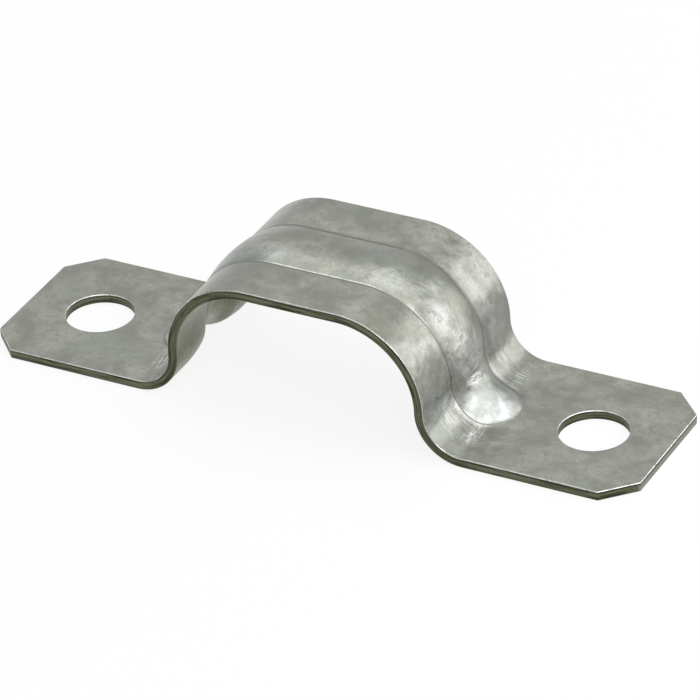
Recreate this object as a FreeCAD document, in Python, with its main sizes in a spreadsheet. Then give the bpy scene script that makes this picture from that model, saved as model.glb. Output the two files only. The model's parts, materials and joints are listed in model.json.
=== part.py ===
"""Two-hole conduit strap, pressed from one strip of galvanised sheet steel.

The strip runs along X, is bent about Y and stands on the undersides of its
two feet at z = 0. The origin is on that plane, midway between the screw holes.
Both ends are alike, so the blank is drawn for the +X end and mirrored.
A rib is pressed outwards along the middle of the strip: a bead on top and an
equal groove beneath, so the sheet keeps one thickness all the way across.
Lengths are in millimetres and angles in radians.
"""
import FreeCAD, Part
import math
import os
import Sketcher
from FreeCAD import Vector

SIZES = {
    "strip_width": 19.0,
    "sheet_thickness": 1.0,
    # bent profile, from the middle of the crown out to the end of a foot
    "crown_flat_length": 10.0,
    "shoulder_inside_radius": 8.1,
    "leg_straight_length": 0.3,
    "foot_bend_radius": 3.9,
    "foot_flat_length": 17.6,
    # screw hole and clipped corners of a foot
    "hole_diameter": 7.0,
    "hole_end_distance": 8.0,
    "corner_clip": 3.1,
    # rib over the crown, and the noses that it swells into on the feet
    "rib_width": 7.2,
    "rib_height": 0.42,
    "nose_width": 6.8,
    "nose_height": 1.6,
    "nose_reach": 1.6,
    "nose_swell_length": 10.0,
}

QUARTER_TURN = math.pi / 2
START, END, CENTRE = 1, 2, 3

# the rib's cross-sections: their spacing, and how far each tool runs past the
# face that it breaks through
STATION_PITCH = 0.9
NOSE_STATIONS = 9
TOOL_OVERRUN = 0.55


def make_sheet(doc):
    """The spreadsheet that holds every driving size under its own name."""
    sheet = doc.addObject("Spreadsheet::Sheet", "Sizes")
    for row, (alias, value) in enumerate(SIZES.items(), start=1):
        sheet.set(f"A{row}", alias)
        sheet.set(f"B{row}", str(value))
        sheet.setAlias(f"B{row}", alias)
    doc.recompute()
    return sheet


class Profile:
    """The strip's bent outer face for x >= 0, walked by its arc length s."""

    def __init__(self, sheet):
        self.thickness = sheet.sheet_thickness
        self.crown = sheet.crown_flat_length / 2
        self.shoulder = sheet.shoulder_inside_radius + self.thickness
        self.leg = sheet.leg_straight_length
        self.bend = sheet.foot_bend_radius
        self.foot = sheet.foot_flat_length
        self.bend_z = self.thickness + self.bend
        self.shoulder_z = self.bend_z + self.leg
        self.crown_z = self.shoulder_z + self.shoulder
        self.leg_x = self.crown + self.shoulder
        self.foot_x = self.leg_x + self.bend
        self.end_x = self.foot_x + self.foot
        self.shoulder_s = self.crown + self.shoulder * QUARTER_TURN
        self.leg_s = self.shoulder_s + self.leg
        self.foot_s = self.leg_s + self.bend * QUARTER_TURN

    def station(self, s):
        """Point on the outer face at s, and the outward normal there."""
        if s <= self.crown:
            return Vector(s, 0, self.crown_z), Vector(0, 0, 1)
        if s <= self.shoulder_s:
            turn = (s - self.crown) / self.shoulder
            normal = Vector(math.sin(turn), 0, math.cos(turn))
            return Vector(self.crown, 0, self.shoulder_z) + normal * self.shoulder, normal
        if s <= self.leg_s:
            drop = s - self.shoulder_s
            return Vector(self.leg_x, 0, self.shoulder_z - drop), Vector(1, 0, 0)
        if s <= self.foot_s:
            turn = (s - self.leg_s) / self.bend
            normal = Vector(math.cos(turn), 0, math.sin(turn))
            return Vector(self.foot_x, 0, self.bend_z) - normal * self.bend, normal
        return Vector(self.foot_x + s - self.foot_s, 0, self.thickness), Vector(0, 0, 1)


# ------------------------------------------------------------- the bent blank
def origin_plane(body, role):
    """One of the body's own origin planes, found by its role."""
    for feature in body.Origin.OriginFeatures:
        if feature.Role == role:
            return feature
    raise RuntimeError(f"{body.Label} has no plane {role}")


def new_sketch(body, name, role):
    """An empty sketch on one of the body's origin planes."""
    sketch = body.newObject("Sketcher::SketchObject", name)
    sketch.AttachmentSupport = (origin_plane(body, role), "")
    sketch.MapMode = "FlatFace"
    return sketch


def add_line(sketch, start, end):
    return sketch.addGeometry(Part.LineSegment(Vector(*start, 0), Vector(*end, 0)))


def add_arc(sketch, centre, radius, quarter):
    """A quarter circle, counter-clockwise from the given quarter of a turn."""
    circle = Part.Circle(Vector(*centre, 0), Vector(0, 0, 1), radius)
    start = quarter * QUARTER_TURN
    return sketch.addGeometry(Part.ArcOfCircle(circle, start, start + QUARTER_TURN))


def size_constraint(sketch, name, expression, *constraint):
    """A named dimension of the sketch that follows the spreadsheet."""
    index = sketch.addConstraint(Sketcher.Constraint(*constraint))
    sketch.renameConstraint(index, name)
    sketch.setExpression(f"Constraints.{name}", expression)


def draw_side_profile(sketch, p):
    """Closed outline of half the bent strip, seen along Y."""
    inside = p.shoulder - p.thickness
    under = p.bend + p.thickness
    shoulder_centre = (p.crown, p.shoulder_z)
    bend_centre = (p.foot_x, p.bend_z)

    crown_top = add_line(sketch, (0, p.crown_z), (p.crown, p.crown_z))
    shoulder_out = add_arc(sketch, shoulder_centre, p.shoulder, 0)
    leg_out = add_line(sketch, (p.leg_x, p.shoulder_z), (p.leg_x, p.bend_z))
    bend_top = add_arc(sketch, bend_centre, p.bend, 2)
    foot_top = add_line(sketch, (p.foot_x, p.thickness), (p.end_x, p.thickness))
    foot_end = add_line(sketch, (p.end_x, p.thickness), (p.end_x, 0))
    foot_under = add_line(sketch, (p.end_x, 0), (p.foot_x, 0))
    bend_under = add_arc(sketch, bend_centre, under, 2)
    leg_x_in = p.leg_x - p.thickness
    leg_in = add_line(sketch, (leg_x_in, p.bend_z), (leg_x_in, p.shoulder_z))
    shoulder_in = add_arc(sketch, shoulder_centre, inside, 0)
    crown_z_in = p.crown_z - p.thickness
    crown_under = add_line(sketch, (p.crown, crown_z_in), (0, crown_z_in))
    middle = add_line(sketch, (0, crown_z_in), (0, p.crown_z))

    smooth = [
        (crown_top, END, shoulder_out, END),
        (shoulder_out, START, leg_out, START),
        (leg_out, END, bend_top, START),
        (bend_top, END, foot_top, START),
        (foot_under, END, bend_under, END),
        (bend_under, START, leg_in, START),
        (leg_in, END, shoulder_in, START),
        (shoulder_in, END, crown_under, START),
    ]
    for joint in smooth:
        sketch.addConstraint(Sketcher.Constraint("Tangent", *joint))
    corners = [
        (foot_top, END, foot_end, START),
        (foot_end, END, foot_under, START),
        (crown_under, END, middle, START),
        (middle, END, crown_top, START),
        (shoulder_out, CENTRE, shoulder_in, CENTRE),
        (bend_top, CENTRE, bend_under, CENTRE),
    ]
    for joint in corners:
        sketch.addConstraint(Sketcher.Constraint("Coincident", *joint))
    for line in (crown_top, crown_under, foot_top):
        sketch.addConstraint(Sketcher.Constraint("Horizontal", line))
    for line in (leg_out, leg_in, foot_end, middle):
        sketch.addConstraint(Sketcher.Constraint("Vertical", line))
    x_axis, z_axis = -1, -2
    sketch.addConstraint(Sketcher.Constraint("PointOnObject", middle, START, z_axis))
    sketch.addConstraint(Sketcher.Constraint("PointOnObject", foot_under, START, x_axis))
    sketch.addConstraint(Sketcher.Constraint("PointOnObject", foot_under, END, x_axis))

    size_constraint(sketch, "crown", "Sizes.crown_flat_length / 2",
                    "Distance", crown_top, p.crown)
    size_constraint(sketch, "shoulder", "Sizes.shoulder_inside_radius",
                    "Radius", shoulder_in, inside)
    size_constraint(sketch, "leg", "Sizes.leg_straight_length",
                    "Distance", leg_out, p.leg)
    size_constraint(sketch, "bend", "Sizes.foot_bend_radius",
                    "Radius", bend_top, p.bend)
    size_constraint(sketch, "foot", "Sizes.foot_flat_length",
                    "Distance", foot_top, p.foot)
    size_constraint(sketch, "thickness", "Sizes.sheet_thickness",
                    "Distance", foot_end, p.thickness)


def draw_screw_hole(sketch, sheet, p):
    """The round hole in the middle of a foot, seen from above."""
    hole_x = p.end_x - sheet.hole_end_distance
    circle = Part.Circle(Vector(hole_x, 0, 0), Vector(0, 0, 1), sheet.hole_diameter / 2)
    hole = sketch.addGeometry(circle)
    x_axis = -1
    sketch.addConstraint(Sketcher.Constraint("PointOnObject", hole, CENTRE, x_axis))
    half_length = (
        "Sizes.crown_flat_length / 2 + Sizes.shoulder_inside_radius"
        " + Sizes.sheet_thickness + Sizes.foot_bend_radius + Sizes.foot_flat_length"
    )
    size_constraint(sketch, "hole_place", f"{half_length} - Sizes.hole_end_distance",
                    "DistanceX", -1, START, hole, CENTRE, hole_x)
    size_constraint(sketch, "hole_size", "Sizes.hole_diameter",
                    "Diameter", hole, sheet.hole_diameter)


def foot_corner_edges(shape, p):
    """Names of the two upright edges at the end of the foot."""
    names = []
    for number, edge in enumerate(shape.Edges, start=1):
        box = edge.BoundBox
        at_end = abs(box.XMin - p.end_x) < p.thickness / 100
        upright = box.XLength + box.YLength < p.thickness / 100
        if at_end and upright:
            names.append(f"Edge{number}")
    return names


def make_half_blank(doc, sheet, p):
    """One half of the plain bent strip, with its hole and clipped corners."""
    body = doc.addObject("PartDesign::Body", "half_blank")

    side = new_sketch(body, "side_profile", "XZ_Plane")
    draw_side_profile(side, p)
    strip = body.newObject("PartDesign::Pad", "half_strip")
    strip.Profile = side
    strip.SideType = "Symmetric"
    strip.setExpression("Length", "Sizes.strip_width")
    doc.recompute()

    plan = new_sketch(body, "hole_plan", "XY_Plane")
    draw_screw_hole(plan, sheet, p)
    hole = body.newObject("PartDesign::Pocket", "screw_hole")
    hole.Profile = plan
    hole.Reversed = True
    hole.setExpression("Length", "2 * Sizes.sheet_thickness")
    doc.recompute()
    if not hole.Shape.Volume < strip.Shape.Volume:
        raise RuntimeError("the screw hole cut nothing")

    clip = body.newObject("PartDesign::Chamfer", "clipped_corners")
    clip.Base = (hole, foot_corner_edges(hole.Shape, p))
    clip.setExpression("Size", "Sizes.corner_clip")
    doc.recompute()

    body.Tip = clip
    doc.recompute()
    return body


# -------------------------------------------------------------------- the rib
def ease(fraction):
    """A smooth step from 0 to 1."""
    fraction = min(max(fraction, 0.0), 1.0)
    return (1 - math.cos(math.pi * fraction)) / 2


class Rib:
    """Cross-sections of the rib's outer face, all of them circular arcs."""

    def __init__(self, sheet, profile):
        self.profile = profile
        self.crown_half = sheet.rib_width / 2
        self.crown_height = sheet.rib_height
        self.nose_half = sheet.nose_width / 2
        self.nose_height = sheet.nose_height
        self.swell = sheet.nose_swell_length
        # the nose is a ball cap, centred here and one half-width short of its tip
        self.nose_s = profile.foot_s + sheet.nose_reach - self.nose_half

    def arc(self, s):
        """Radius of the arc at s, and how far its centre lies under the outer face."""
        grown = ease((s - self.nose_s + self.swell) / self.swell)
        half = self.crown_half + (self.nose_half - self.crown_half) * grown
        height = self.crown_height + (self.nose_height - self.crown_height) * grown
        radius = (half**2 + height**2) / (2 * height)
        return radius, radius - height

    def section(self, s, inset, floor):
        """Closed wire at s: the arc set in by inset, cut off at depth floor."""
        radius, depth = self.arc(min(s, self.nose_s))
        radius = math.sqrt((radius - inset) ** 2 - max(s - self.nose_s, 0) ** 2)
        across = math.sqrt(radius**2 - (depth - floor) ** 2)
        point, normal = self.profile.station(s)
        side = Vector(0, 1, 0)
        left = point - normal * floor - side * across
        crest = point + normal * (radius - depth)
        right = point - normal * floor + side * across
        return Part.Wire([Part.Arc(left, crest, right).toShape(), Part.makeLine(right, left)])

    def stations(self, inset, floor):
        """Places of the sections from the crown's middle to past the nose's tip."""
        pitches = math.ceil(self.nose_s / STATION_PITCH)
        along = [self.nose_s * i / pitches for i in range(pitches + 1)]
        radius, depth = self.arc(self.nose_s)
        buried = depth - (floor + inset) / 2
        past = math.sqrt((radius - inset) ** 2 - buried**2)
        nose = [
            self.nose_s + past * math.sin(QUARTER_TURN * i / NOSE_STATIONS)
            for i in range(1, NOSE_STATIONS + 1)
        ]
        return along + nose

    def tool(self, inset, floor):
        """Solid under the rib's face set in by inset, down to depth floor."""
        sections = [self.section(s, inset, floor) for s in self.stations(inset, floor)]
        return Part.makeLoft(sections, True, False)


# ----------------------------------------------------------------- the strap
def add_tool(doc, name, shape):
    """A plain feature that holds one of the rib's two tools."""
    feature = doc.addObject("Part::Feature", name)
    feature.Shape = shape
    return feature


def make_strap(doc, sheet):
    """Half the strap, raised and grooved along its rib, and its mirror image."""
    profile = Profile(sheet)
    rib = Rib(sheet, profile)
    thickness = sheet.sheet_thickness
    blank = make_half_blank(doc, sheet, profile)
    bead = add_tool(doc, "rib_bead", rib.tool(0, thickness / 2))
    groove = add_tool(doc, "rib_groove", rib.tool(thickness, thickness + TOOL_OVERRUN))

    raised = doc.addObject("Part::Fuse", "raised_half")
    raised.Base = blank
    raised.Tool = bead
    ribbed = doc.addObject("Part::Cut", "ribbed_half")
    ribbed.Base = raised
    ribbed.Tool = groove
    other = doc.addObject("Part::Mirroring", "other_half")
    other.Source = ribbed
    other.Normal = Vector(1, 0, 0)
    strap = doc.addObject("Part::Fuse", "strap")
    strap.Base = ribbed
    strap.Tool = other
    strap.Refine = True
    strap.Label = "strap"
    return strap


def check(doc, sub_parts):
    """Stop if anything failed to build, or a sub-part isn't one sound solid."""
    for item in doc.Objects:
        if "Invalid" in item.State or "Error" in item.State:
            raise RuntimeError(f"{item.Label} failed: {item.State}")
    for part in sub_parts:
        if part.Shape.isNull() or not part.Shape.isValid():
            raise RuntimeError(f"{part.Label} has no valid shape")
        if len(part.Shape.Solids) != 1:
            raise RuntimeError(f"{part.Label} isn't one solid")


def main():
    doc = FreeCAD.newDocument("ConduitStrap")
    sheet = make_sheet(doc)
    sub_parts = [make_strap(doc, sheet)]
    doc.recompute()
    check(doc, sub_parts)
    os.makedirs("parts", exist_ok=True)
    for part in sub_parts:
        part.Shape.exportStep(f"parts/{part.Label}.step")


main()
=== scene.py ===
"""Two-hole conduit strap of galvanised sheet, dressed in its finish.

The strap is made the way the press makes it: a flat blank is sheared with
clipped corners and two holes, then bent over the crown and at the feet while
a rib is drawn along its middle. The blank lies with x along the strip and y
across it, both from its middle, and with its outer face up, at z = 0. Lengths
are in metres.
"""
import json
import math
from typing import NamedTuple

import bmesh
import bpy
from bpy.props import FloatProperty, FloatVectorProperty, PointerProperty
from mathutils import Matrix, Vector


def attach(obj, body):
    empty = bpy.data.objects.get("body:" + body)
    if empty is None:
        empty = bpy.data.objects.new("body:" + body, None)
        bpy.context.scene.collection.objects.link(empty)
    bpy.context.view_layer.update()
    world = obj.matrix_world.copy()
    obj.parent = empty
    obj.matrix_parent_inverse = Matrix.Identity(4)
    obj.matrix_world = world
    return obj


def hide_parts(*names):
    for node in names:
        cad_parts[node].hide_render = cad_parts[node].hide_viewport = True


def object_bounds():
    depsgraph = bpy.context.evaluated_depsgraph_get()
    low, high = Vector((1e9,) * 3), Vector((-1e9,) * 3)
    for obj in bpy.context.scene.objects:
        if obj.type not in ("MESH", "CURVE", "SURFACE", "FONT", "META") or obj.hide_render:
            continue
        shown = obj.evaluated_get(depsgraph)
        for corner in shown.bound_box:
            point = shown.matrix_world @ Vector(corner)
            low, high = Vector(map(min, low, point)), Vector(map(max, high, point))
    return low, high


bl_info = {
    "name": "Conduit Strap",
    "version": (1, 0, 0),
    "blender": (4, 5, 0),
    "location": "View3D > Sidebar > Conduit Strap",
    "description": "Presses a ribbed two-hole strap from a flat blank, in a plain studio",
    "category": "Object",
}

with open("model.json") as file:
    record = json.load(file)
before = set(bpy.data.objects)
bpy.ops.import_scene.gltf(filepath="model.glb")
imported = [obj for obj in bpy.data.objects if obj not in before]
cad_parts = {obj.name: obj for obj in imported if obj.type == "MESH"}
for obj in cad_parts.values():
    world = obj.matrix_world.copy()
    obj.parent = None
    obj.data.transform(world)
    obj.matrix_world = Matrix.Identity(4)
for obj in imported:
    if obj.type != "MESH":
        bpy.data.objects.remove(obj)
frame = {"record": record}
CAD_LOW, CAD_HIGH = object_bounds()
MM = 0.001
HOLES = frame["record"]["mounts"][0]["dims"]

QUARTER_TURN = math.pi / 2


# ---------------------------------------------------------------- properties
def length(name, description, default):
    """A property that holds a length."""
    return FloatProperty(
        name=name, description=description, default=default, min=0.0, unit="LENGTH", precision=5
    )


class StrapSizes(bpy.types.PropertyGroup):
    """What the blank and the press tools measure."""

    strip_width: length("Strip width", "Across the strip", CAD_HIGH.y - CAD_LOW.y)
    strap_length: length("Strap length", "From foot end to foot end", CAD_HIGH.x - CAD_LOW.x)
    sheet_thickness: length("Sheet thickness", "Gauge of the sheet", 1.0 * MM)
    crown_flat_length: length("Crown flat", "Flat on top of the crown", 10.0 * MM)
    shoulder_inside_radius: length("Shoulder radius", "On the inner side of the shoulder", 8.1 * MM)
    leg_straight_length: length("Leg straight", "Between a shoulder and its foot bend", 0.3 * MM)
    foot_bend_radius: length("Foot bend radius", "On the upper side of the bend", 3.9 * MM)
    corner_clip: length("Corner clip", "Cut off along each side of a corner", 3.1 * MM)
    hole_spacing: length("Hole spacing", "Between the screw holes", HOLES["spacing_x_mm"] * MM)
    hole_radius: length("Hole radius", "Of a screw hole", HOLES["hole_r_mm"] * MM)
    rib_width: length("Rib width", "Across the rib on the crown", 7.2 * MM)
    rib_height: length("Rib height", "Of the rib on the crown", 0.418 * MM)
    nose_width: length("Nose width", "Across the rib's rounded end", 6.8 * MM)
    nose_height: length("Nose height", "Of the rib's rounded end", 1.6 * MM)
    nose_reach: length("Nose reach", "Of the rib past the foot bend", 1.6 * MM)
    nose_swell_length: length("Nose swell", "Over which the rib grows into its nose", 10.0 * MM)
    crease_softness: length("Crease softness", "Of the line where the rib starts", 0.06 * MM)
    lip_height: length("Lip height", "Of the steep edge that the rib starts with", 0.025 * MM)
    lip_width: length("Lip width", "Of that steep edge", 0.14 * MM)
    pull_height: length("Pull height", "How far a nose draws the sheet up with it", 0.06 * MM)
    thinning: length("Thinning", "How much thinner the sheet is drawn round a nose", 0.33 * MM)
    pull_width: length("Pull width", "How wide round a nose the sheet is drawn", 1.5 * MM)
    rollover_radius: length("Rollover radius", "Of the sheared edge's upper side", 0.11 * MM)
    burr_size: length("Burr size", "Of the sheared edge's lower side", 0.05 * MM)
    tear_inset: length("Tear inset", "Of the torn part of a sheared edge", 0.03 * MM)
    corner_radius: length("Corner radius", "Of the clipped corners' edges", 0.25 * MM)


def colour(name, description, default):
    """A property that holds a colour."""
    return FloatVectorProperty(
        name=name, description=description, default=default, size=3, min=0.0, max=1.0,
        subtype="COLOR",
    )


class StrapFinish(bpy.types.PropertyGroup):
    """Colours of the zinc and of the sheared steel; some of the zinc's are laid on as painted
    highlights and painted shade.
    """

    # also laid as painted shade on the back side of the rib and the front band at the shoulder
    zinc_dull_and_shade: colour("Dull zinc", "Where the coating has weathered", (0.168, 0.174, 0.147))
    zinc_clear: colour("Clear zinc", "Where the coating is clean", (0.262, 0.267, 0.236))
    zinc_green: colour("Green zinc", "Faint tint left in patches", (0.196, 0.223, 0.198))
    # partly real burnish, partly a painted sheen and reflection on the leg, the shoulder and beside
    # the nose
    zinc_burnish_and_sheen: colour("Burnished zinc", "Where the press rubbed it", (0.37, 0.375, 0.366))
    # painted highlight colour, laid on the nose, the rib, the rollover edge and the lip, and over
    # scuffs where the dies landed
    zinc_highlight: colour("Bright zinc", "Where the press pushed hardest", (0.6, 0.605, 0.625))
    # the underside's darker, greener tone
    zinc_under: colour("Oily zinc", "Underside, stained by press oil", (0.200, 0.212, 0.130))
    # a dark line along the rib's creases, painted shade behind the rib, and darker patches on the
    # underside
    dirt_and_shade: colour("Dirt", "Dark dust, most of it in the rib's creases", (0.085, 0.085, 0.072))
    steel_cut: colour("Cut steel", "The sheared part of the edge", (0.155, 0.158, 0.104))
    steel_torn: colour("Torn steel", "The rough lower part of the edge", (0.036, 0.036, 0.02))
    steel_end: colour("Cropped steel", "The cleaner edge of a foot's end", (0.26, 0.255, 0.23))


def angle(name, description, degrees):
    """A property that holds an angle."""
    return FloatProperty(
        name=name, description=description, default=math.radians(degrees), subtype="ANGLE"
    )


def brightness(name, description, default):
    """A property that holds the brightness of a lamp or of the room, where 1 looks white."""
    return FloatProperty(name=name, description=description, default=default, min=0.0)


class StudioSettings(bpy.types.PropertyGroup):
    """Where the camera stands, and how bright the lamps are."""

    azimuth: angle("Azimuth", "Of the camera, round the strap from its front", 29.855)
    elevation: angle("Elevation", "Of the camera, above the floor", 32.344)
    roll: angle("Roll", "Of the camera about its own axis", -3.787)
    distance: length("Distance", "From the camera to what it looks at", 533.16 * MM)
    aim: FloatVectorProperty(
        name="Aim", description="What the camera looks at", subtype="XYZ", unit="LENGTH",
        default=(3.216 * MM, -3.718 * MM, 6.390 * MM),
    )
    lens: FloatProperty(
        name="Lens", description="Focal length of the camera in millimetres", default=281.45,
        min=1.0,
    )
    floor_colour: colour("Floor", "The plain floor", (0.96, 0.96, 0.96))
    floor_glow: FloatProperty(
        name="Floor glow", description="How far the floor looks plain white, whatever lights it",
        default=0.88, min=0.0, max=1.0, subtype="FACTOR",
    )
    fill: brightness("Fill", "Of the room", 0.05)
    overhead: brightness("Overhead", "Of the soft box above the back", 1.75)
    side: brightness("Side", "Of the soft box on the right", 2.8)
    low: brightness("Low", "Of the low soft box behind the right foot", 1.9)


# ------------------------------------------------------------ numbers in nodes
class Field:
    """A number that a node tree works out, written with Python's operators."""

    def __init__(self, tree, socket):
        self.tree = tree
        self.socket = socket

    def maths(self, operation, *values):
        """The result of one maths node."""
        node = self.tree.nodes.new("ShaderNodeMath")
        node.operation = operation
        for plug, value in zip(node.inputs, values):
            feed(self.tree, plug, value)
        return Field(self.tree, node.outputs["Value"])

    def __add__(self, other):
        return self.maths("ADD", self, other)

    def __radd__(self, other):
        return self.maths("ADD", other, self)

    def __sub__(self, other):
        return self.maths("SUBTRACT", self, other)

    def __rsub__(self, other):
        return self.maths("SUBTRACT", other, self)

    def __mul__(self, other):
        return self.maths("MULTIPLY", self, other)

    def __truediv__(self, other):
        return self.maths("DIVIDE", self, other)

    def sine(self):
        return self.maths("SINE", self)

    def cosine(self):
        return self.maths("COSINE", self)

    def root(self):
        return self.maths("SQRT", self)

    def size(self):
        return self.maths("ABSOLUTE", self)

    def sign(self):
        return self.maths("SIGN", self)

    def at_least(self, limit):
        return self.maths("MAXIMUM", self, limit)

    def at_most(self, limit):
        return self.maths("MINIMUM", self, limit)

    def within(self, low, high):
        return self.at_least(low).at_most(high)

    def softly_at_least(self, limit, softness):
        return self.maths("SMOOTH_MAX", self, limit, softness)

    def step(self, start, end):
        """0 before start, 1 after end, and an even slope between them."""
        return ((self - start) / (end - start)).within(0.0, 1.0)

    def band(self, start, full, fade, end):
        """0 outside start and end, 1 from full to fade, and even slopes between them."""
        return self.step(start, full) * (1.0 - self.step(fade, end))

    def eased(self):
        """A straight step from 0 to 1 with its two ends rounded off."""
        return (1.0 - (self * math.pi).cosine()) * 0.5


def feed(tree, plug, value):
    """Links a field or a socket to an input, or writes a plain value into it."""
    if isinstance(value, Field):
        tree.links.new(value.socket, plug)
    elif isinstance(value, bpy.types.NodeSocket):
        tree.links.new(value, plug)
    else:
        plug.default_value = value


def split(tree, vector):
    """The three numbers of a vector socket."""
    node = tree.nodes.new("ShaderNodeSeparateXYZ")
    tree.links.new(vector, node.inputs["Vector"])
    return [Field(tree, node.outputs[axis]) for axis in "XYZ"]


def join(tree, *numbers):
    """A vector socket of three numbers."""
    node = tree.nodes.new("ShaderNodeCombineXYZ")
    for plug, value in zip(node.inputs, numbers):
        feed(tree, plug, value)
    return node.outputs["Vector"]


# ------------------------------------------------------------- the flat blank
class Strip:
    """Places along the strip's outer face, as lengths from its middle."""

    def __init__(self, sizes):
        self.half_width = sizes.strip_width / 2
        self.shoulder_start = sizes.crown_flat_length / 2
        shoulder = sizes.shoulder_inside_radius + sizes.sheet_thickness
        self.shoulder_end = self.shoulder_start + shoulder * QUARTER_TURN
        self.bend_start = self.shoulder_end + sizes.leg_straight_length
        self.bend_end = self.bend_start + sizes.foot_bend_radius * QUARTER_TURN
        foot_x = self.shoulder_start + shoulder + sizes.foot_bend_radius
        self.end = self.bend_end + sizes.strap_length / 2 - foot_x
        self.hole = self.bend_end + sizes.hole_spacing / 2 - foot_x
        self.nose_centre = self.bend_end + sizes.nose_reach - sizes.nose_width / 2
        self.nose_tip = self.bend_end + sizes.nose_reach


# pitches of the blank's mesh along the strip, fine where the rib turns into its nose
CROWN_PITCH = 0.5 * MM
SHOULDER_PITCH = 0.28 * MM
BEND_PITCH = 0.18 * MM
NOSE_PITCH = 0.09 * MM
# and across it, fine where the rib's creases run
CREST_PITCH = 0.15 * MM
CREASE_PITCH = 0.06 * MM
BAND_PITCH = 0.6 * MM
CREASE_ZONE = 0.5 * MM
# a row of points this far beside a turn keeps the flat next to it shaded flat
HOLD = 0.05 * MM
# the rollover's face is zinc down to this share of its radius, and steel below it
ZINC_SHARE = 0.8
ROLLOVER_STEPS = 4
CORNER_STEPS = 3
HOLE_STEPS = 96
CORNERS_AT_END = 4
CLIP_TURN = math.pi / 4


def divide(stretches):
    """Places from 0 on: each stretch runs to its end in even steps near its pitch."""
    places = [0.0]
    for end, pitch in stretches:
        start = places[-1]
        steps = max(1, round((end - start) / pitch))
        places += [start + (end - start) * step / steps for step in range(1, steps + 1)]
    return places


def both_ways(places):
    """The same places on both sides of 0."""
    return [-place for place in reversed(places[1:])] + places


def rows_along(sizes, strip):
    """Rows of the mesh, from past one nose to past the other."""
    fine_start = strip.nose_centre - sizes.foot_bend_radius / 4
    return both_ways(divide([
        (strip.shoulder_start, CROWN_PITCH),
        (strip.bend_start, SHOULDER_PITCH),
        (fine_start, BEND_PITCH),
        (strip.nose_tip + 3 * HOLD, NOSE_PITCH),
    ]))


def columns_across(sizes, side):
    """Columns of the mesh, from one long edge's face line to the other."""
    narrow = min(sizes.rib_width, sizes.nose_width) / 2 - CREASE_ZONE
    wide = max(sizes.rib_width, sizes.nose_width) / 2 + CREASE_ZONE
    return both_ways(divide([(narrow, CREST_PITCH), (wide, CREASE_PITCH), (side, BAND_PITCH)]))


def edge_section(sizes):
    """The sheared edge from top to bottom, as pairs of inset and depth."""
    radius = sizes.rollover_radius
    bottom = sizes.sheet_thickness
    section = [(radius + HOLD, 0.0)]
    for step in range(ROLLOVER_STEPS + 1):
        turn = QUARTER_TURN * step / ROLLOVER_STEPS
        section.append((radius * (1 - math.sin(turn)), radius * (1 - math.cos(turn))))
    inset = sizes.tear_inset
    burr = sizes.burr_size
    section += [
        (0.0, bottom / 2),
        (inset, bottom - burr - HOLD),
        (inset, bottom - burr),
        (inset + burr, bottom),
        (inset + burr + HOLD, bottom),
    ]
    return section


class Outline:
    """The blank's outer loop at any inset, with its long sides cut at the rows."""

    def __init__(self, sizes, strip, rows):
        self.radius = sizes.corner_radius
        self.half_width = strip.half_width
        self.rows = rows
        x, y, clip = strip.end, strip.half_width, sizes.corner_clip
        self.corners = [
            (x - clip, -y), (x, clip - y), (x, y - clip), (x - clip, y),
            (clip - x, y), (-x, y - clip), (-x, clip - y), (clip - x, -y),
        ]

    def corner(self, number, inset):
        """Points round one corner, with a holding point on each side of it."""
        heading = number * CLIP_TURN
        along = Vector((math.cos(heading), math.sin(heading)))
        tangent = self.radius * math.tan(CLIP_TURN / 2)
        inward = Vector((-along.y, along.x))
        centre = Vector(self.corners[number]) - along * tangent + inward * self.radius
        points = []
        for step in range(CORNER_STEPS + 1):
            turn = heading - QUARTER_TURN + CLIP_TURN * step / CORNER_STEPS
            outward = Vector((math.cos(turn), math.sin(turn)))
            points.append(centre + outward * (self.radius - inset))
        leaving = Vector((math.cos(heading + CLIP_TURN), math.sin(heading + CLIP_TURN)))
        return [points[0] - along * HOLD, *points, points[-1] + leaving * HOLD]

    def front_and_end(self, inset):
        """The front's rows from left to right, and the corners of the right end."""
        loop = [Vector((row, inset - self.half_width)) for row in self.rows]
        for number in range(CORNERS_AT_END):
            loop += self.corner(number, inset)
        return loop

    def points(self, inset):
        """The whole loop, counter-clockwise from above, from the front's first row."""
        loop = self.front_and_end(inset)
        loop += [Vector((row, self.half_width - inset)) for row in reversed(self.rows)]
        for number in range(CORNERS_AT_END, 2 * CORNERS_AT_END):
            loop += self.corner(number, inset)
        return loop


def add_ring(bm, points, depth):
    """Points of the blank at one depth below its outer face."""
    return [bm.verts.new((point.x, point.y, -depth)) for point in points]


def bridge(bm, upper, lower, marks, cut):
    """Faces between two rings, marked where they are bare steel."""
    for here in range(len(upper)):
        after = (here + 1) % len(upper)
        face = bm.faces.new((upper[here], lower[here], lower[after], upper[after]))
        face[marks] = cut


def add_edge(bm, sizes, ring_at, marks):
    """A sheared edge from the outer face to the inner one, and its first and last rings."""
    section = edge_section(sizes)
    rings = [add_ring(bm, ring_at(inset), depth) for inset, depth in section]
    for number in range(len(rings) - 1):
        depth = (section[number][1] + section[number + 1][1]) / 2
        cut = sizes.rollover_radius * ZINC_SHARE < depth < sizes.sheet_thickness
        bridge(bm, rings[number], rings[number + 1], marks, cut)
    return rings[0], rings[-1]


def circle_points(centre, radius):
    """A hole's outline round its centre on the strip's middle line."""
    return [
        Vector((centre + radius * math.cos(turn), radius * math.sin(turn)))
        for turn in (2 * math.pi * step / HOLE_STEPS for step in range(HOLE_STEPS))
    ]


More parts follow.
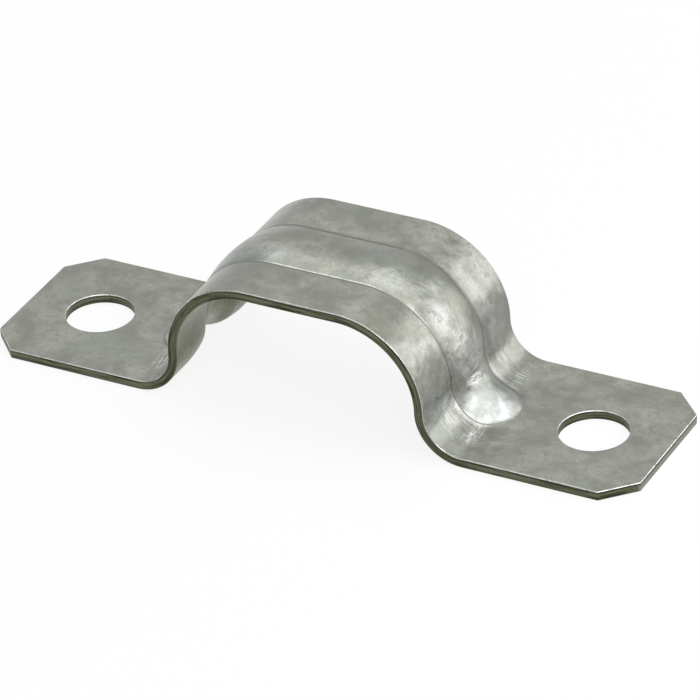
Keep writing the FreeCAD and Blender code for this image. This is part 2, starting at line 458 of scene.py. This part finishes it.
def add_face_side(bm, outer, back_start, rows, columns, depth, hole_rings):
    """One face of the sheet inside its edge rings: a grid, and two flat feet."""
    count = len(rows)
    front = outer[:count]
    back = list(reversed(outer[back_start:back_start + count]))
    lines = [front]
    for across in columns[1:-1]:
        lines.append([bm.verts.new((row, across, -depth)) for row in rows])
    lines.append(back)
    for near, far in zip(lines, lines[1:]):
        for number in range(count - 1):
            bm.faces.new((near[number], near[number + 1], far[number + 1], far[number]))
    left_border = [*outer[back_start + count - 1:], outer[0]]
    right_border = outer[count - 1:back_start + 1]
    for end, border, hole in zip((0, -1), (left_border, right_border), hole_rings):
        seam = [line[end] for line in lines]
        edges = chain(bm, border) + chain(bm, seam) + chain(bm, [*hole, hole[0]])
        filled = bmesh.ops.triangle_fill(bm, edges=edges, use_beauty=True)
        if not filled["geom"]:
            raise RuntimeError("a foot of the blank stayed open")


def chain(bm, verts):
    """The edges from each vertex to the next."""
    return [bm.edges.get(pair) or bm.edges.new(pair) for pair in zip(verts, verts[1:])]


def make_blank(sizes):
    """The flat blank as a mesh, its bare steel marked in the attribute 'cut'."""
    strip = Strip(sizes)
    rows = rows_along(sizes, strip)
    outline = Outline(sizes, strip, rows)
    bm = bmesh.new()
    marks = bm.faces.layers.bool.new("cut")
    back_start = len(outline.front_and_end(0.0))
    outer = add_edge(bm, sizes, outline.points, marks)
    holes = [
        add_edge(bm, sizes, lambda inset, x=x: circle_points(x, sizes.hole_radius + inset), marks)
        for x in (-strip.hole, strip.hole)
    ]
    section = edge_section(sizes)
    for level, (inset, depth) in ((0, section[0]), (1, section[-1])):
        columns = columns_across(sizes, strip.half_width - inset)
        rings = [hole[level] for hole in holes]
        add_face_side(bm, outer[level], back_start, rows, columns, depth, rings)
    bmesh.ops.recalc_face_normals(bm, faces=bm.faces)
    for face in bm.faces:
        face.smooth = True
    mesh = bpy.data.meshes.new("strap")
    bm.to_mesh(mesh)
    bm.free()
    return mesh


# ------------------------------------------------------------- the press tool
PRESS_SIZES = (
    "sheet_thickness", "crown_flat_length", "shoulder_inside_radius", "leg_straight_length",
    "foot_bend_radius", "rib_width", "rib_height", "nose_width", "nose_height", "nose_reach",
    "nose_swell_length", "crease_softness", "lip_height", "lip_width",
    "pull_height", "pull_width", "thinning",
)


def label(sizes, key):
    """The name that a size shows in the panel, which its input in the tree shares."""
    return sizes.bl_rna.properties[key].name


def press_tree(sizes, zinc, steel):
    """Node tree that bends the blank, draws its rib and gives it its two finishes."""
    tree = bpy.data.node_groups.new("press strap", "GeometryNodeTree")
    tree.interface.new_socket("Blank", in_out="INPUT", socket_type="NodeSocketGeometry")
    tree.interface.new_socket("Strap", in_out="OUTPUT", socket_type="NodeSocketGeometry")
    for key in PRESS_SIZES:
        plug = tree.interface.new_socket(
            label(sizes, key), in_out="INPUT", socket_type="NodeSocketFloat"
        )
        plug.subtype = "DISTANCE"
    inputs = tree.nodes.new("NodeGroupInput")
    given = {key: Field(tree, inputs.outputs[label(sizes, key)]) for key in PRESS_SIZES}
    place = tree.nodes.new("GeometryNodeInputPosition").outputs["Position"]
    pressed, crease = pressed_place(tree, given, place)

    kept = store(tree, inputs.outputs["Blank"], "FLOAT_VECTOR", "blank", place)
    kept = store(tree, kept, "FLOAT", "crease", crease)
    move = tree.nodes.new("GeometryNodeSetPosition")
    tree.links.new(kept, move.inputs["Geometry"])
    tree.links.new(pressed, move.inputs["Position"])
    real = tree.nodes.new("GeometryNodeRealizeInstances")
    tree.links.new(move.outputs["Geometry"], real.inputs["Geometry"])
    coat = tree.nodes.new("GeometryNodeSetMaterial")
    coat.inputs["Material"].default_value = zinc
    tree.links.new(real.outputs["Geometry"], coat.inputs["Geometry"])
    bare = tree.nodes.new("GeometryNodeInputNamedAttribute")
    bare.data_type = "BOOLEAN"
    bare.inputs["Name"].default_value = "cut"
    edge = tree.nodes.new("GeometryNodeSetMaterial")
    edge.inputs["Material"].default_value = steel
    tree.links.new(coat.outputs["Geometry"], edge.inputs["Geometry"])
    tree.links.new(bare.outputs["Attribute"], edge.inputs["Selection"])
    output = tree.nodes.new("NodeGroupOutput")
    tree.links.new(edge.outputs["Geometry"], output.inputs["Strap"])
    return tree


def store(tree, geometry, kind, name, value):
    """The geometry with a value of each point kept for the materials."""
    node = tree.nodes.new("GeometryNodeStoreNamedAttribute")
    node.data_type = kind
    node.domain = "POINT"
    node.inputs["Name"].default_value = name
    tree.links.new(geometry, node.inputs["Geometry"])
    feed(tree, node.inputs["Value"], value)
    return node.outputs["Geometry"]


def bent_line(given, along):
    """Where the bends take the strip's outer face: outwards, up, its tilt, and the
    foot bends' end. The strip is walked by its length along the outer face."""
    crown = given["crown_flat_length"] * 0.5
    shoulder = given["shoulder_inside_radius"] + given["sheet_thickness"]
    leg = given["leg_straight_length"]
    bend = given["foot_bend_radius"]
    shoulder_end = crown + shoulder * QUARTER_TURN
    bend_start = shoulder_end + leg
    bend_end = bend_start + bend * QUARTER_TURN
    shoulder_turn = ((along - crown) / shoulder).within(0.0, QUARTER_TURN)
    bend_turn = ((along - bend_start) / bend).within(0.0, QUARTER_TURN)
    crown_top = given["sheet_thickness"] + bend + leg + shoulder
    out = (
        along.at_most(crown) + shoulder * shoulder_turn.sine()
        + bend * (1.0 - bend_turn.cosine()) + (along - bend_end).at_least(0.0)
    )
    up = (
        crown_top - shoulder * (1.0 - shoulder_turn.cosine())
        - (along - shoulder_end).at_least(0.0).at_most(leg) - bend * bend_turn.sine()
    )
    return out, up, shoulder_turn - bend_turn, bend_end


def rib_rise(given, along, across, depth, bend_end):
    """How far the rib lifts the sheet at a depth below its face, and how far inside
    the rib's crease that is.

    The rib is an arc across the strip that swells into a ball-shaped nose.
    """
    nose_half = given["nose_width"] * 0.5
    nose_centre = bend_end + given["nose_reach"] - nose_half
    grown = along.step(nose_centre - given["nose_swell_length"], nose_centre).eased()
    crown_half = given["rib_width"] * 0.5
    half = crown_half + (nose_half - crown_half) * grown
    lip = given["lip_height"] * (1.0 - grown)
    height = given["rib_height"] + (given["nose_height"] - given["rib_height"]) * grown - lip
    radius = (half * half + height * height) / (height * 2.0)
    centre_depth = radius - height
    past = (along - nose_centre).at_least(0.0)
    ring = past * past + across * across
    reach = radius - depth
    centre_below = centre_depth - depth
    rise = (reach * reach - ring).at_least(0.0).root() - centre_below
    crease = (reach * reach - centre_below * centre_below).root() - ring.root()

    # the steep lip it starts with, its crease rounder on the sheet's inner side
    rise = rise + lip * crease.step(0.0, given["lip_width"]).eased()
    slope = half / centre_depth
    softness = given["crease_softness"] * slope + depth * slope * slope * 0.5
    rise = rise.softly_at_least(0.0, softness)

    # the sheet round the nose, drawn up towards it and thinner there
    inner = depth / given["sheet_thickness"]
    pull = given["pull_height"] + given["thinning"] * inner
    pulled = (1.0 - crease.size() / (given["pull_width"] * (1.0 + inner))).at_least(0.0)
    return rise + grown * pull * pulled * pulled, crease


def pressed_place(tree, given, place):
    """Where the press takes each place of the blank, and how far inside the rib's
    crease that is."""
    x, y, z = split(tree, place)
    along = x.size()
    depth = z * -1.0
    out, up, tilt, bend_end = bent_line(given, along)
    rise, crease = rib_rise(given, along, y, depth, bend_end)
    lift = rise - depth
    pressed = join(
        tree, (out + tilt.sine() * lift) * x.sign(), y, up + tilt.cosine() * lift
    )
    return pressed, crease


def press(blank, sizes, zinc, steel):
    """The blank's mesh taken through the press tool, as a plain mesh."""
    worker = bpy.data.objects.new("blank", blank)
    bpy.context.scene.collection.objects.link(worker)
    tree = press_tree(sizes, zinc, steel)
    modifier = worker.modifiers.new("press", "NODES")
    modifier.node_group = tree
    keys = {label(sizes, key): key for key in PRESS_SIZES}
    for item in tree.interface.items_tree:
        if item.name in keys:
            modifier[item.identifier] = getattr(sizes, keys[item.name])
    evaluated = worker.evaluated_get(bpy.context.evaluated_depsgraph_get())
    mesh = bpy.data.meshes.new_from_object(evaluated)
    mesh.name = "strap"
    bpy.data.objects.remove(worker)
    bpy.data.meshes.remove(blank)
    bpy.data.node_groups.remove(tree)
    return mesh


# ------------------------------------------------------------------ materials
def new_material(name):
    """An empty node material with its Principled shader."""
    material = bpy.data.materials.new(name)
    material.use_nodes = True
    tree = material.node_tree
    return material, tree, tree.nodes["Principled BSDF"]


def noise(tree, place, scale, detail=2.0, roughness=0.5, distortion=0.0):
    """A soft random pattern between 0 and 1, scale bumps to the metre."""
    node = tree.nodes.new("ShaderNodeTexNoise")
    node.inputs["Scale"].default_value = scale
    node.inputs["Detail"].default_value = detail
    node.inputs["Roughness"].default_value = roughness
    node.inputs["Distortion"].default_value = distortion
    tree.links.new(place, node.inputs["Vector"])
    return Field(tree, node.outputs["Fac"])


def stretched(tree, place, factors):
    """The same place with its axes scaled, so that a pattern gets streaks."""
    node = tree.nodes.new("ShaderNodeMapping")
    node.inputs["Scale"].default_value = factors
    tree.links.new(place, node.inputs["Vector"])
    return node.outputs["Vector"]


def layered(tree, base, layers):
    """A base colour under other colours, each laid on as thick as its fraction."""
    tone = (*base, 1)
    for fraction, over in layers:
        node = tree.nodes.new("ShaderNodeMix")
        node.data_type = "RGBA"
        feed(tree, node.inputs["Factor"], fraction)
        feed(tree, node.inputs["A"], tone)
        feed(tree, node.inputs["B"], (*over, 1))
        tone = node.outputs["Result"]
    return tone


def relief(tree, layers):
    """The normal of bumps laid over each other, each a height and what it measures."""
    normal = None
    for height, distance in layers:
        node = tree.nodes.new("ShaderNodeBump")
        node.inputs["Distance"].default_value = distance
        feed(tree, node.inputs["Height"], height)
        if normal:
            tree.links.new(normal, node.inputs["Normal"])
        normal = node.outputs["Normal"]
    return normal


def read(tree, name):
    """The node of a value that the press kept on the sheet."""
    node = tree.nodes.new("ShaderNodeAttribute")
    node.attribute_name = name
    return node


class Sheet:
    """Places of the sheet as a material reads them: where they are now, and where
    they lay on the blank."""

    def __init__(self, tree):
        self.place = tree.nodes.new("ShaderNodeTexCoord").outputs["Object"]
        self.blank = read(tree, "blank").outputs["Vector"]
        x, self.across, z = split(tree, self.blank)
        self.along = x.size()
        self.depth = z * -1.0


class HighlightSpot(NamedTuple):
    """A spot of painted highlight: its middle past a place of the strip and off the
    strip's middle line, and its reach along and across."""

    place: str
    past: float
    off: float
    reach_along: float
    reach_across: float

    def field(self, sheet, strip):
        """1 in the middle of the spot, and an even slope to 0 at its reach."""
        middle = getattr(strip, self.place) + self.past
        far = (sheet.along - middle) / self.reach_along
        wide = (sheet.across - self.off) / self.reach_across
        return (1.0 - (far * far + wide * wide).root()).at_least(0.0)


# painted highlights on the nose's ball, its tip, and its neck where the sheet folded a little
BALL = HighlightSpot("nose_centre", 0.5 * MM, -1.9 * MM, 3.6 * MM, 2.9 * MM)
TIP = HighlightSpot("nose_tip", -1.0 * MM, 0.4 * MM, 1.8 * MM, 2.4 * MM)
NECK = HighlightSpot("bend_start", 0.3 * MM, -0.9 * MM, 1.9 * MM, 1.7 * MM)
# a painted highlight on the rib over the shoulder, a painted sheen on the rib where the shoulder
# starts, and a painted highlight on the back edge
CORNER = HighlightSpot("shoulder_start", 8.0 * MM, -1.8 * MM, 2.6 * MM, 1.5 * MM)
SHEEN = HighlightSpot("shoulder_start", 1.2 * MM, -1.7 * MM, 4.4 * MM, 1.7 * MM)
BACK_EDGE = HighlightSpot("shoulder_start", 8.1 * MM, 8.2 * MM, 2.6 * MM, 2.2 * MM)


class ZincPatterns:
    """The random patterns of the zinc, those on the blank stretched as it was rolled
    or as the dies slid over it."""

    def __init__(self, tree, sheet):
        place, blank = sheet.place, sheet.blank
        self.patches = noise(tree, place, 190, detail=3, distortion=0.3)
        self.clouds = noise(tree, place, 330, detail=5, roughness=0.62, distortion=0.3)
        self.waves = noise(tree, place, 420, distortion=0.2)
        self.wear = noise(tree, place, 520, detail=1, roughness=0.4)
        self.smudges = noise(tree, place, 900, detail=4, roughness=0.65)
        self.grain = noise(tree, place, 3600, detail=3, roughness=0.7)
        self.folds = noise(tree, stretched(tree, blank, (1.0, 0.25, 0.0)), 1500, detail=1)
        self.rolled = noise(tree, stretched(tree, blank, (0.06, 1.0, 1.0)), 2600, roughness=0.6)
        self.scuffs = noise(tree, stretched(tree, blank, (1.0, 0.2, 0.0)), 4200, detail=1)
        self.lines = noise(tree, stretched(tree, blank, (0.1, 1.0, 0.0)), 5200, detail=0)


class PressMarksAndPaintedLight:
    """Where the press left its marks on the zinc, and where highlights and shade are painted on it,
    each a field from 0 to 1.
    """

    def __init__(self, tree, sheet, strip, patterns):
        along, across, depth = sheet.along, sheet.across, sheet.depth
        shoulder, bend, foot = strip.shoulder_start, strip.bend_start, strip.bend_end
        self.crease = crease = Field(tree, read(tree, "crease").outputs["Fac"])

        # sides of the sheet and of its rib
        self.under = depth.step(0.5 * MM, 0.95 * MM)
        # the rollover edge, which gets a painted highlight
        self.rim_highlight = depth.band(0.003 * MM, 0.02 * MM, 0.3 * MM, 0.4 * MM)
        self.front = front = (across * -1.0).step(0.0, 1.0 * MM)
        self.rib = crease.step(0.0, 0.5 * MM)
        beside_rib = 1.0 - crease.step(-0.2 * MM, 0.3 * MM)
        in_front = (across * -1.0).step(3.2 * MM, 3.8 * MM)

        # over the shoulder, worked from further on in front of the rib, with painted shade over the
        # front band
        reached = along - in_front * (3.0 * MM)
        self.worked = reached.step(shoulder - 1.0 * MM, shoulder + 5.0 * MM)
        self.worked = self.worked * (1.0 - along.step(bend + 1.0 * MM, foot))
        self.front_shade = in_front * along.band(
            shoulder + 1.5 * MM, shoulder + 3.0 * MM, shoulder + 4.5 * MM, shoulder + 7.0 * MM
        )
        # a painted highlight along the rib's lip in front
        self.lip = crease.band(0.0, 0.04 * MM, 0.1 * MM, 0.18 * MM) * front
        self.lip = self.lip * (1.0 - along.step(shoulder, shoulder + 4.0 * MM))
        # painted highlights on the rib's corner and the back edge, and a painted sheen where the
        # shoulder starts
        self.corner = CORNER.field(sheet, strip).step(0.0, 0.6)
        self.sheen = SHEEN.field(sheet, strip).step(0.0, 0.5)
        self.back_edge = BACK_EDGE.field(sheet, strip).step(0.0, 0.6)

        # the leg, made lighter as a painted reflection, and the back side of its rib, darkened as
        # painted shade
        self.leg = along.band(
            strip.shoulder_end - 4.0 * MM, strip.shoulder_end - 1.0 * MM, bend, bend + 2.5 * MM
        )
        self.leg = self.leg * (1.0 - across.step(2.5 * MM, 4.0 * MM))
        self.shaded_flank = along.band(
            shoulder + 4.0 * MM, shoulder + 7.0 * MM, bend - 1.0 * MM, bend + 1.0 * MM
        )
        self.shaded_flank = self.shaded_flank * (1.0 - crease.step(0.8 * MM, 2.6 * MM))
        self.shaded_flank = self.shaded_flank * across.step(0.2 * MM, 1.2 * MM) * crease.step(0.0, 0.2 * MM)

        # the foot bend, where the dies slid over the sheet beside the rib and landed, with a
        # painted highlight in the strip beside the nose's crease and over the scuffs where they
        # landed
        slid = along.band(bend - 1.2 * MM, bend + 1.6 * MM, foot - 1.2 * MM, foot + 0.4 * MM)
        slid = slid * beside_rib
        self.rubbed = slid * crease.step(-0.8 * MM, -0.3 * MM)
        self.slid = slid * crease.step(-4.6 * MM, -2.4 * MM) * patterns.wear.step(0.42, 0.6)
        self.landed = along.band(
            foot - 1.7 * MM, foot - 1.1 * MM, foot - 0.5 * MM, foot + 0.3 * MM
        )
        self.landed = self.landed * crease.step(-3.9 * MM, -2.9 * MM) * front
        self.landed = self.landed * (1.0 - crease.step(-2.2 * MM, -0.8 * MM) * 0.7) * beside_rib
        self.landed = self.landed * patterns.scuffs.step(0.5, 0.56)

        # the nose, whose ball, tip and neck get painted highlights
        self.ball = BALL.field(sheet, strip).step(0.0, 0.45) * crease.step(0.02 * MM, 0.25 * MM)
        self.tip = TIP.field(sheet, strip)
        self.neck = NECK.field(sheet, strip)
        self.past_nose = along.step(strip.nose_centre, strip.nose_tip)


def burnish_and_sheen(patterns, marks):
    """How far the press rubbed the zinc smooth, partly real burnish and partly painted sheen: a
    painted reflection on the leg, and painted highlight over the worked shoulder and beside the
    nose's crease.
    """
    amount = marks.worked * patterns.waves.step(0.5, 0.68) * 0.6 * (1.0 - marks.shaded_flank)
    amount = amount + marks.rubbed * 0.7 + marks.leg * 0.65 + marks.landed * 0.9
    amount = amount + marks.slid * patterns.lines.step(0.47, 0.55) * 0.6
    return amount.at_most(1.0)


def painted_highlights(patterns, marks):
    """How far highlights are painted on the zinc in its brightest colour: on the nose's ball, tip
    and neck, over the rib's shoulder and the back edge, along the rollover edge and the rib's lip,
    beside the nose's crease, and over real scuffs where the dies landed.
    """
    amount = marks.ball * (0.25 + patterns.clouds.step(0.4, 0.6) * 0.5) + marks.tip * 0.3
    amount = amount + marks.neck.step(0.0, 0.5) * patterns.folds.step(0.4, 0.56) * 0.8
    amount = amount + marks.corner * 0.3 + marks.sheen * 0.18 + marks.back_edge * 0.2
    amount = amount + marks.rim_highlight + marks.lip * (0.2 + patterns.clouds * 0.6)
    amount = amount + marks.rubbed * marks.front * 0.35 + marks.landed * 0.5
    return amount.at_most(1.0)


def dull_and_painted_shade(patterns, marks):
    """How far the zinc is dull: speckled all over, less on the ball under its painted highlight,
    and as painted shade on the back side of the rib over the shoulder and on the front band there.
    """
    amount = patterns.smudges.step(0.5, 0.66) * 0.55 + patterns.grain.step(0.4, 0.65) * 0.35
    amount = (amount + patterns.rolled.step(0.4, 0.7) * 0.1) * (1.0 - marks.ball * 0.7)
    return (amount + marks.shaded_flank * 0.7 + marks.front_shade * 0.5).at_most(1.0)


def darkened(patterns, marks):
    """How far the underside is darkened, in mottled patches."""
    amount = patterns.smudges.step(0.35, 0.7) * 0.45 + patterns.clouds.step(0.35, 0.65) * 0.2
    return marks.under * amount + marks.under * patterns.grain.step(0.4, 0.65) * 0.25


def dark_line_and_painted_shade(patterns, marks):
    """How far a dark line runs along the rib's crease, made wider behind the rib as
    painted shade, with painted shade also on the back side of the rib."""
    # painted shade widens the line behind the rib
    wide = 0.25 * MM - marks.front * (0.16 * MM)
    line = (1.3 - (marks.crease / wide + 0.4 + marks.front * 0.5).size()).at_least(0.0)
    line = line * (1.0 - marks.under)
    line = line * (0.4 + patterns.clouds.step(0.35, 0.6) * 0.4 + marks.front * 0.4)
    line = line * (1.0 - marks.past_nose * 0.7)
    # and painted shade on the back side of the rib
    return (line + marks.shaded_flank * 0.3).at_most(0.8)


def make_zinc(finish, strip):
    """Galvanised face of the sheet: mottled, rubbed brighter where the press drew it, with painted
    highlights and painted shade in its colour.
    """
    material, tree, shader = new_material("galvanised sheet")
    sheet = Sheet(tree)
    patterns = ZincPatterns(tree, sheet)
    marks = PressMarksAndPaintedLight(tree, sheet, strip, patterns)
    tone = layered(tree, finish.zinc_dull_and_shade, [
        (patterns.clouds.step(0.38, 0.62), finish.zinc_clear),
        (patterns.patches.step(0.5, 0.66) * 0.75, finish.zinc_green),
        # burnish, partly real and partly painted sheen, then painted highlights
        (burnish_and_sheen(patterns, marks), finish.zinc_burnish_and_sheen),
        (painted_highlights(patterns, marks), finish.zinc_highlight),
        # dull zinc with painted shade, the underside's darker tone, and the crease line with
        # painted shade
        (dull_and_painted_shade(patterns, marks), finish.zinc_dull_and_shade),
        (marks.under * 0.95, finish.zinc_under),
        (darkened(patterns, marks), finish.dirt_and_shade),
        (dark_line_and_painted_shade(patterns, marks), finish.dirt_and_shade),
    ])
    tree.links.new(tone, shader.inputs["Base Color"])
    shader.inputs["Metallic"].default_value = 1.0
    shader.inputs["Coat Weight"].default_value = 0.3
    shader.inputs["Coat Roughness"].default_value = 0.15
    rough = 0.25 + patterns.clouds * 0.1 + patterns.grain * 0.08
    feed(tree, shader.inputs["Roughness"], rough + marks.under * 0.1 + marks.ball * 0.12)
    normal = relief(tree, [
        (patterns.waves * (0.25 + marks.worked * (0.75 + marks.rib * 0.5)), 0.16 * MM),
        (patterns.smudges, 0.014 * MM),
        (patterns.lines * marks.slid, 0.05 * MM),
        (patterns.folds * marks.neck, 0.16 * MM),
        (patterns.grain + patterns.rolled, 0.005 * MM),
    ])
    tree.links.new(normal, shader.inputs["Normal"])
    return material


def make_cut_steel(finish, strip):
    """Sheared edge of the sheet: cut smooth above, torn dark below."""
    material, tree, shader = new_material("sheared edge")
    sheet = Sheet(tree)
    wander = noise(tree, sheet.place, 500, detail=3, roughness=0.6)
    grain = noise(tree, sheet.place, 5000, detail=3, roughness=0.7)
    streaks = noise(tree, stretched(tree, sheet.blank, (0.05, 0.05, 1.0)), 5200, roughness=0.6)
    ticks = noise(tree, stretched(tree, sheet.place, (1.0, 1.0, 0.15)), 4200)

    # the torn part, the dark line where the punch bit, and the cropped ends
    depth = sheet.depth + (wander - 0.5) * (0.2 * MM)
    torn = depth.step(0.45 * MM, 0.8 * MM) * (1.0 - depth.step(0.82 * MM, 0.92 * MM) * 0.6)
    bite = 1.0 - (depth - 0.2 * MM).size().step(0.03 * MM, 0.14 * MM)
    mark = torn * 0.3 + bite * 0.45 + streaks.step(0.45, 0.58) * 0.6
    mark = mark + ticks.step(0.45, 0.7) * 0.1 + grain.step(0.4, 0.7) * 0.1
    end = sheet.along.step(strip.end - 0.25 * MM, strip.end - 0.1 * MM)
    end = end * (depth.step(0.25 * MM, 0.4 * MM) * 0.9)
    tone = layered(tree, finish.steel_cut, [
        (mark.at_most(1.0), finish.steel_torn),
        (end, finish.steel_end),
    ])
    tree.links.new(tone, shader.inputs["Base Color"])
    shader.inputs["Metallic"].default_value = 1.0
    feed(tree, shader.inputs["Roughness"], 0.42 + torn * 0.2)
    normal = relief(tree, [(ticks + streaks, 0.012 * MM), (grain, 0.008 * MM)])
    tree.links.new(normal, shader.inputs["Normal"])
    return material


# ------------------------------------------------------------------ the stage
FLOOR_HALF_WIDTH = 4.0
# the floor lies this far under the feet, so that the two never share a plane
FLOOR_GAP = 0.01 * MM
FLOOR_ROUGHNESS = 0.9
WHITE = (1, 1, 1, 1)
LAMP_DISTANCE = 0.8
CLIP_END = 20.0


def seen_directly(tree):
    """1 where the camera sees a thing itself or in a mirror or glass, 0 elsewhere."""
    path = tree.nodes.new("ShaderNodeLightPath")
    camera = Field(tree, path.outputs["Is Camera Ray"])
    glossy = Field(tree, path.outputs["Is Glossy Ray"])
    return camera.at_least(glossy).at_least(Field(tree, path.outputs["Is Transmission Ray"]))


def make_floor(studio):
    """A plain pale floor, wide enough for every view."""
    bm = bmesh.new()
    bmesh.ops.create_grid(bm, x_segments=1, y_segments=1, size=FLOOR_HALF_WIDTH)
    bmesh.ops.translate(bm, verts=bm.verts, vec=(0, 0, CAD_LOW.z - FLOOR_GAP))
    mesh = bpy.data.meshes.new("floor")
    bm.to_mesh(mesh)
    bm.free()
    material, tree, shader = new_material("floor")
    shader.inputs["Base Color"].default_value = (*studio.floor_colour, 1)
    shader.inputs["Roughness"].default_value = FLOOR_ROUGHNESS
    shader.inputs["Specular IOR Level"].default_value = 0.0
    glow = tree.nodes.new("ShaderNodeEmission")
    glow.inputs["Color"].default_value = WHITE
    mix = tree.nodes.new("ShaderNodeMixShader")
    feed(tree, mix.inputs["Fac"], seen_directly(tree) * studio.floor_glow)
    tree.links.new(shader.outputs["BSDF"], mix.inputs[1])
    tree.links.new(glow.outputs["Emission"], mix.inputs[2])
    output = tree.nodes["Material Output"]
    tree.links.new(mix.outputs["Shader"], output.inputs["Surface"])
    mesh.materials.append(material)
    floor = bpy.data.objects.new("floor", mesh)
    bpy.context.scene.collection.objects.link(floor)


def make_room(studio):
    """White behind everything that is seen, and an even fill light."""
    world = bpy.data.worlds.new("room")
    world.use_nodes = True
    tree = world.node_tree
    background = tree.nodes["Background"]
    background.inputs["Color"].default_value = WHITE
    white = seen_directly(tree) * (1.0 - studio.fill) + studio.fill
    feed(tree, background.inputs["Strength"], white)
    bpy.context.scene.world = world


def direction(bearing, elevation):
    """From the strap to what stands round it, its bearing from the back to the right."""
    return Vector((
        math.sin(bearing) * math.cos(elevation),
        math.cos(bearing) * math.cos(elevation),
        math.sin(elevation),
    ))


def add_soft_box(name, brightness, bearing, elevation, size):
    """A soft lamp that faces the strap, with its bearing and elevation in degrees."""
    back = direction(math.radians(bearing), math.radians(elevation))
    lamp = bpy.data.lights.new(name, "AREA")
    lamp.shape = "RECTANGLE"
    lamp.size, lamp.size_y = size
    lamp.energy = brightness * math.pi * lamp.size * lamp.size_y
    box = bpy.data.objects.new(name, lamp)
    centre = (CAD_LOW + CAD_HIGH) / 2
    turn = back.to_track_quat("Z", "Y").to_matrix().to_4x4()
    box.matrix_world = Matrix.Translation(centre + back * LAMP_DISTANCE) @ turn
    bpy.context.scene.collection.objects.link(box)


def add_camera(studio):
    """The camera, turned about its own axis after it is aimed."""
    azimuth, roll = studio.azimuth, studio.roll
    back = direction(math.pi - azimuth, studio.elevation)
    level = Vector((math.cos(azimuth), math.sin(azimuth), 0.0))
    above = back.cross(level)
    right = level * math.cos(roll) + above * math.sin(roll)
    up = above * math.cos(roll) - level * math.sin(roll)
    data = bpy.data.cameras.new("camera")
    data.lens = studio.lens
    data.clip_start = studio.distance / 100
    data.clip_end = CLIP_END
    camera = bpy.data.objects.new("camera", data)
    turn = Matrix((right, up, back)).transposed().to_4x4()
    camera.matrix_world = Matrix.Translation(Vector(studio.aim) + back * studio.distance) @ turn
    bpy.context.scene.collection.objects.link(camera)
    bpy.context.scene.camera = camera


# ------------------------------------------------------------------ operators
class STRAP_OT_press(bpy.types.Operator):
    """Cut the blank, press it into the strap and give it its finish"""

    bl_idname = "strap.press"
    bl_label = "Press Strap"

    def execute(self, context):
        sizes = context.scene.strap_sizes
        finish = context.scene.strap_finish
        strip = Strip(sizes)
        mesh = press(
            make_blank(sizes), sizes, make_zinc(finish, strip), make_cut_steel(finish, strip)
        )
        strap = bpy.data.objects.new("strap_sheet", mesh)
        context.scene.collection.objects.link(strap)
        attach(strap, "root")
        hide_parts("strap")
        return {"FINISHED"}


class STRAP_OT_set_stage(bpy.types.Operator):
    """Set up the floor, the soft lamps and the camera"""

    bl_idname = "strap.set_stage"
    bl_label = "Set Stage"

    def execute(self, context):
        studio = context.scene.strap_studio
        make_floor(studio)
        make_room(studio)
        add_soft_box("overhead", studio.overhead, bearing=5, elevation=70, size=(1.0, 0.68))
        add_soft_box("side", studio.side, bearing=124, elevation=47, size=(1.2, 0.54))
        add_soft_box("low", studio.low, bearing=50, elevation=17, size=(0.85, 0.5))
        add_camera(studio)
        context.scene.view_settings.view_transform = "Standard"
        return {"FINISHED"}


class VIEW3D_PT_conduit_strap(bpy.types.Panel):
    """Sizes, colours and lamps of the strap, and the buttons that make it"""

    bl_label = "Conduit Strap"
    bl_idname = "VIEW3D_PT_conduit_strap"
    bl_space_type = "VIEW_3D"
    bl_region_type = "UI"
    bl_category = "Conduit Strap"

    def draw(self, context):
        scene = context.scene
        for group, operator in (
            (scene.strap_sizes, None),
            (scene.strap_finish, STRAP_OT_press.bl_idname),
            (scene.strap_studio, STRAP_OT_set_stage.bl_idname),
        ):
            box = self.layout.box()
            for key in group.__annotations__:
                box.prop(group, key)
            if operator:
                box.operator(operator)


CLASSES = (
    StrapSizes, StrapFinish, StudioSettings, STRAP_OT_press, STRAP_OT_set_stage,
    VIEW3D_PT_conduit_strap,
)
GROUPS = {
    "strap_sizes": StrapSizes,
    "strap_finish": StrapFinish,
    "strap_studio": StudioSettings,
}


def register():
    """Register the classes, and put their properties on the scene."""
    for cls in CLASSES:
        bpy.utils.register_class(cls)
    for name, group in GROUPS.items():
        setattr(bpy.types.Scene, name, PointerProperty(type=group))


def unregister():
    """Take the properties and the classes away again."""
    for name in GROUPS:
        delattr(bpy.types.Scene, name)
    for cls in reversed(CLASSES):
        bpy.utils.unregister_class(cls)


def main():
    """Register the classes, press the strap, and set the stage."""
    register()
    bpy.ops.strap.press()
    bpy.ops.strap.set_stage()


if __name__ == "__main__":
    main()
